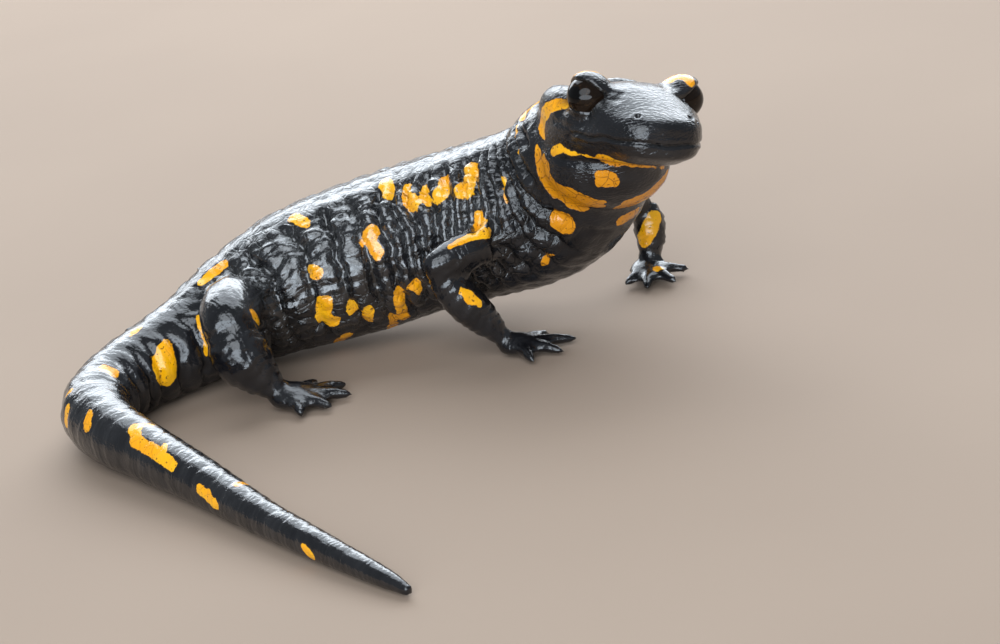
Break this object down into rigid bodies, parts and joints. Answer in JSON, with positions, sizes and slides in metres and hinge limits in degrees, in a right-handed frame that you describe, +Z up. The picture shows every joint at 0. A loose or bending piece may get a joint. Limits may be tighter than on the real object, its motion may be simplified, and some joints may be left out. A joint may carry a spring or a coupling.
{
  "type": "fire salamander",
  "caption": "Life-size still fire salamander resting on belly, feet and tail, with chest and head raised and turned to its right, black skin with yellow spots.",
  "frame": {"origin": "centre of the whole box, on the floor that the belly, feet and tail rest on", "axes": "+Z up; +X from the hips towards the head along the trunk; +Y towards the animal's left side, so the tail sweeps forward along -Y"},
  "size_m": [0.091, 0.1052, 0.0392],
  "materials": {
    "skin": "wet, glossy, finely wrinkled naked skin, black with irregular yellow-orange spots",
    "eye": "very smooth wet dark eyeball"
  },
  "bodies": {
    "root": {"head": "skin", "lower_jaw": "skin", "neck": "skin", "chest": "skin", "trunk": "skin", "hips": "skin", "tail_base": "skin", "tail_bend": "skin", "tail_middle": "skin", "tail_tip": "skin", "upper_arm_right": "skin", "forearm_right": "skin", "hand_right": "skin", "upper_arm_left": "skin", "forearm_left": "skin", "hand_left": "skin", "thigh_right": "skin", "shin_right": "skin", "foot_right": "skin", "thigh_left": "skin", "shin_left": "skin", "foot_left": "skin", "eye_right": "eye", "eye_left": "eye"}
  },
  "joints": []
}
